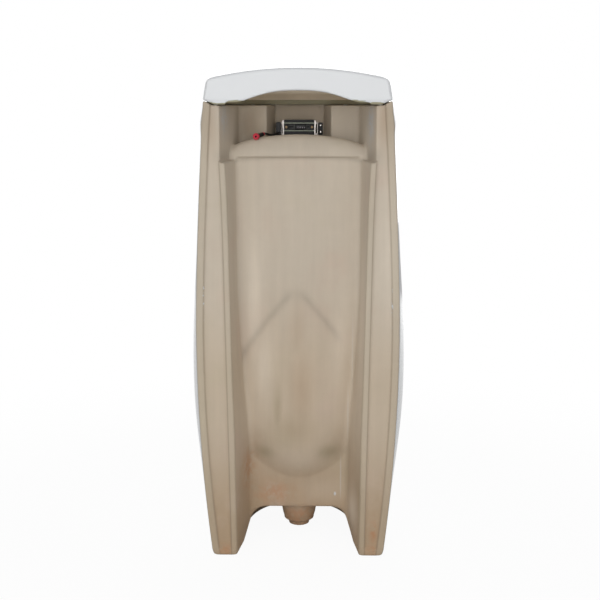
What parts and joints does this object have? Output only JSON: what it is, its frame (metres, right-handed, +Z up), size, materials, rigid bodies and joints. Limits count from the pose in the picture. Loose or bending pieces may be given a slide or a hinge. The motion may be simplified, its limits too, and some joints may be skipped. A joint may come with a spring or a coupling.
{
  "type": "floor standing urinal",
  "caption": "Floor standing urinal in vitreous china with a lift-off lid over a built-in sensor flush unit, seen from the open rear with its wings, bowl bulge and drain spigot.",
  "frame": {"origin": "on the floor, below the middle of the bounding box, halfway between the wall and the lip", "axes": "+Z up, -Y out of the bowl's opening, +Y toward the wall, +X to the left of someone behind it who looks at its rear"},
  "size_m": [0.4432, 0.385, 1],
  "materials": {
    "biscuit_china": "vitreous china, glazed in front, unglazed and stained behind",
    "glazed_china": "glossy white glaze",
    "silicone": "matte",
    "steel_sheet": "zinc plated sheet",
    "black_plastic": "moulded, matte",
    "grey_plastic": "moulded, satin",
    "board_green": "lacquered board",
    "brass": "turned",
    "zinc_steel": "zinc plated",
    "stainless": "brushed",
    "black_rubber": "matte",
    "chrome": "polished",
    "dark_window": "polished, passes infrared",
    "black_pvc": "satin sheath",
    "red_silicone": "satin"
  },
  "bodies": {
    "root": {"china_body": "biscuit_china", "sensor_frame": "steel_sheet", "fixing_block": "black_plastic", "sensor_housing": "grey_plastic", "sensor_cover": "grey_plastic", "terminal_board": "board_green", "cover_screws": "brass", "frame_screws": "zinc_steel", "window_gasket": "black_rubber", "window_bezel": "chrome", "sensor_window": "dark_window", "cable_block": "black_plastic", "power_lead": "black_pvc", "lead_connector": "black_pvc", "connector_ring": "red_silicone", "valve_body": "brass", "valve_coil": "black_plastic", "coil_cap": "zinc_steel", "plunger_spring": "stainless", "valve_diaphragm": "black_rubber", "inlet_filter": "stainless", "spreader": "chrome", "spreader_washer": "black_rubber", "spreader_nut": "brass", "strainer_gasket": "black_rubber"},
    "lid": {"china_lid": "glazed_china", "lid_pads": "silicone"},
    "strainer": {"drain_strainer": "stainless"},
    "plunger": {"valve_plunger": "stainless"},
    "flow_adjuster": {"flow_screw": "brass"}
  },
  "joints": [
    {"name": "lid_lift", "type": "slide", "parent": "root", "child": "lid", "axis": [0, 0, 1], "range_m": [0, 0.06]},
    {"name": "strainer_lift", "type": "slide", "parent": "root", "child": "strainer", "axis": [0, 0, 1], "range_m": [0, 0.04]},
    {"name": "plunger_travel", "type": "slide", "parent": "root", "child": "plunger", "axis": [1, 0, 0], "range_m": [0, 0.003], "stiffness_N_per_m": 350, "springref_m": -0.004, "deforming": ["plunger_spring"]},
    {"name": "flow_screw_turn", "type": "hinge", "parent": "root", "child": "flow_adjuster", "pos_m": [0, 0.0465, 0.838], "axis": [0, 1, 0], "range_deg": [-270, 270]}
  ]
}
